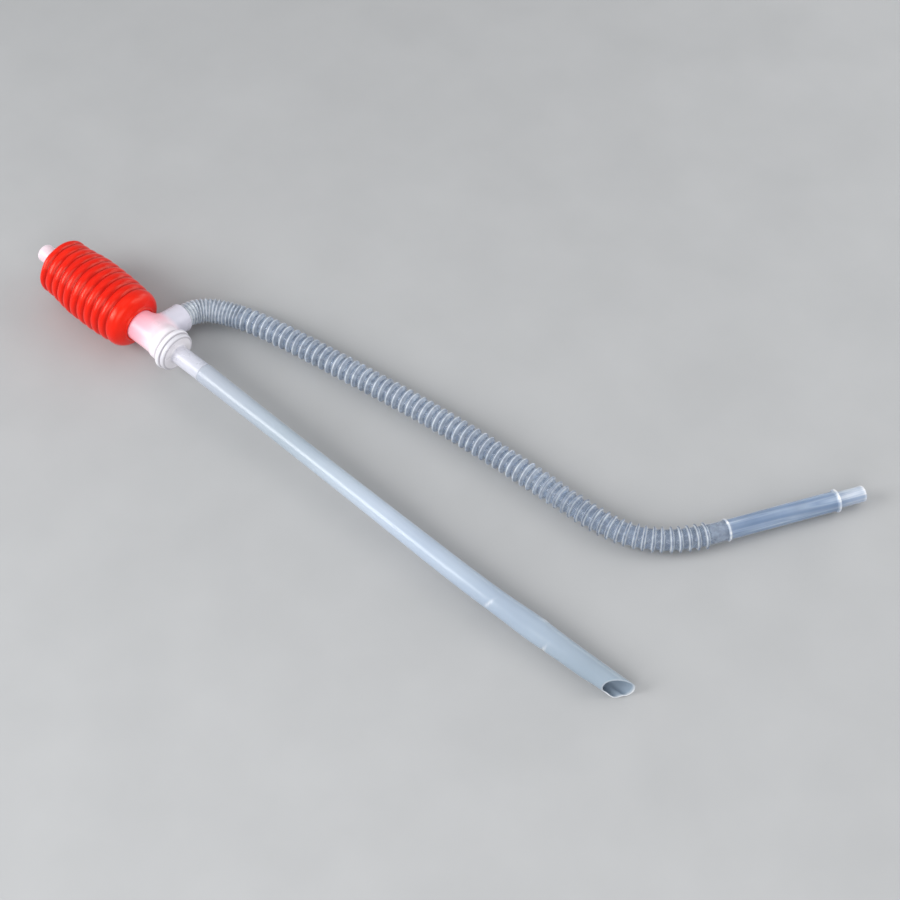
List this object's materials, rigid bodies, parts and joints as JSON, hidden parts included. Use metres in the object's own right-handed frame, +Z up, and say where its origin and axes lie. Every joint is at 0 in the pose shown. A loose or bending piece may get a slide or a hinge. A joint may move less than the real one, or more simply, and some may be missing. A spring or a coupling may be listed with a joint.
{
  "type": "hand siphon pump",
  "caption": "Hand-squeeze siphon pump: bellows bulb with a vent cap, check-valve tee, rigid suction tube with an oblique tip, and a corrugated discharge hose with a nozzle.",
  "frame": {"origin": "on the surface it lies on, under the middle of the pump and suction tube's bounding box, hose and nozzle left out", "axes": "+X along the pump from the vent cap to the suction tip, +Y to the side the hose leaves on, +Z up"},
  "size_m": [0.6035, 0.2649, 0.0509],
  "materials": {
    "bulb_red": "glossy translucent red",
    "vent_plastic": "milky satin",
    "seal_rubber": "soft matt",
    "tee_milky": "milky translucent",
    "adapter_milky": "milky translucent",
    "valve_rubber": "soft matt",
    "pin_steel": "drawn",
    "tube_milky": "milky translucent, bluish",
    "hose_clear": "clear translucent"
  },
  "bodies": {
    "pump": {"squeeze_bulb": "bulb_red", "tee_body": "tee_milky", "adapter_seal": "seal_rubber", "intake_adapter": "adapter_milky", "valve_cage": "tee_milky", "outlet_seat": "tee_milky", "flap_pin": "pin_steel", "suction_tube": "tube_milky", "discharge_hose": "hose_clear", "outlet_nozzle": "hose_clear"},
    "crown": {"vent_bush": "vent_plastic"},
    "cap_seal": {"vent_seal": "seal_rubber"},
    "cap": {"vent_cap": "vent_plastic"},
    "intake_disc": {"intake_valve": "valve_rubber"},
    "flap": {"outlet_flap": "valve_rubber"}
  },
  "joints": [
    {"name": "bulb_squeeze", "type": "slide", "parent": "pump", "child": "crown", "axis": [0.9994, 0, -0.0348], "range_m": [0, 0.03], "stiffness_N_per_m": 350, "deforming": ["squeeze_bulb"]},
    {"name": "vent_cap_lift", "type": "slide", "parent": "crown", "child": "cap_seal", "axis": [-0.9994, 0, 0.0348], "range_m": [0, 0.004]},
    {"name": "vent_cap_turn", "type": "hinge", "parent": "cap_seal", "child": "cap", "pos_m": [-0.28539, -0.00339, 0.02783], "axis": [-0.9994, 0, 0.0348], "range_deg": [0, 721]},
    {"name": "intake_valve_lift", "type": "slide", "parent": "pump", "child": "intake_disc", "axis": [-0.9994, 0, 0.0348], "range_m": [0, 0.0025]},
    {"name": "outlet_flap_swing", "type": "hinge", "parent": "pump", "child": "flap", "pos_m": [-0.16377, 0.01249, 0.02614], "axis": [0.9994, 0, -0.0348], "range_deg": [0, 40], "stiffness_Nm_per_rad": 0.0004}
  ],
  "couplings": [
    {"joint": "vent_cap_turn", "follows": "vent_cap_lift", "rad_per_m": 3141.6}
  ]
}
